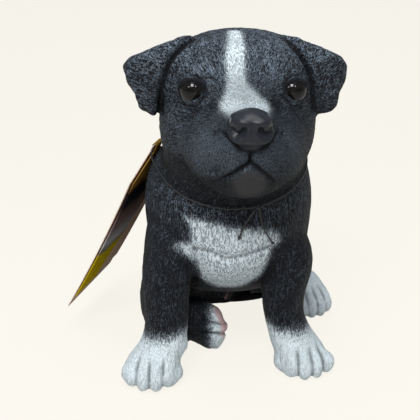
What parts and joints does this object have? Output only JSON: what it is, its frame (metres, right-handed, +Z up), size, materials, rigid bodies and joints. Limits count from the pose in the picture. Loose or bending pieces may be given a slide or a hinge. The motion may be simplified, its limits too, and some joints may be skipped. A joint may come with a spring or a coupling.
{
  "type": "seated puppy figurine",
  "caption": "Hollow cast seated puppy figure with inset glass eyes, felt pads, and a folded card tag that hangs on a cord round the neck.",
  "frame": {"origin": "centre of the felt face under the rump, on the surface that the figure sits on", "axes": "+Z up, the puppy looks along -Y, its left side is +X"},
  "size_m": [0.1827, 0.2224, 0.2161],
  "materials": {
    "painted_resin": "hand painted charcoal black, dry brushed in blue grey, with white markings",
    "eye_glass": "black glass with a dark brown iris",
    "bung_rubber": "matt black",
    "felt": "black wool felt",
    "cord": "waxed black cotton cord",
    "printed_card": "coated card, printed in plain bands",
    "plain_card": "uncoated kraft card"
  },
  "bodies": {
    "figure": {"body_casting": "painted_resin", "head_casting": "painted_resin", "left_ear": "painted_resin", "right_ear": "painted_resin", "left_foreleg": "painted_resin", "right_foreleg": "painted_resin", "left_hind_leg": "painted_resin", "right_hind_leg": "painted_resin", "tail": "painted_resin", "left_eye": "eye_glass", "right_eye": "eye_glass", "base_plug": "bung_rubber", "seat_felt": "felt", "paw_felts": "felt", "neck_cord": "cord", "cord_knot": "cord", "cord_tails": "cord", "cord_end_knots": "cord"},
    "tag_cover": {"tag_cover": "printed_card"},
    "tag_leaf": {"tag_leaf": "plain_card"}
  },
  "joints": [
    {"name": "tag_swing", "type": "hinge", "parent": "figure", "child": "tag_cover", "pos_m": [-0.043, -0.067, 0.137], "axis": [0.3416, 0.9384, 0.0523], "range_deg": [0, 40]},
    {"name": "tag_fold", "type": "hinge", "parent": "tag_cover", "child": "tag_leaf", "pos_m": [-0.043, -0.067, 0.137], "axis": [0.3416, 0.9384, 0.0523], "range_deg": [0, 90]}
  ]
}
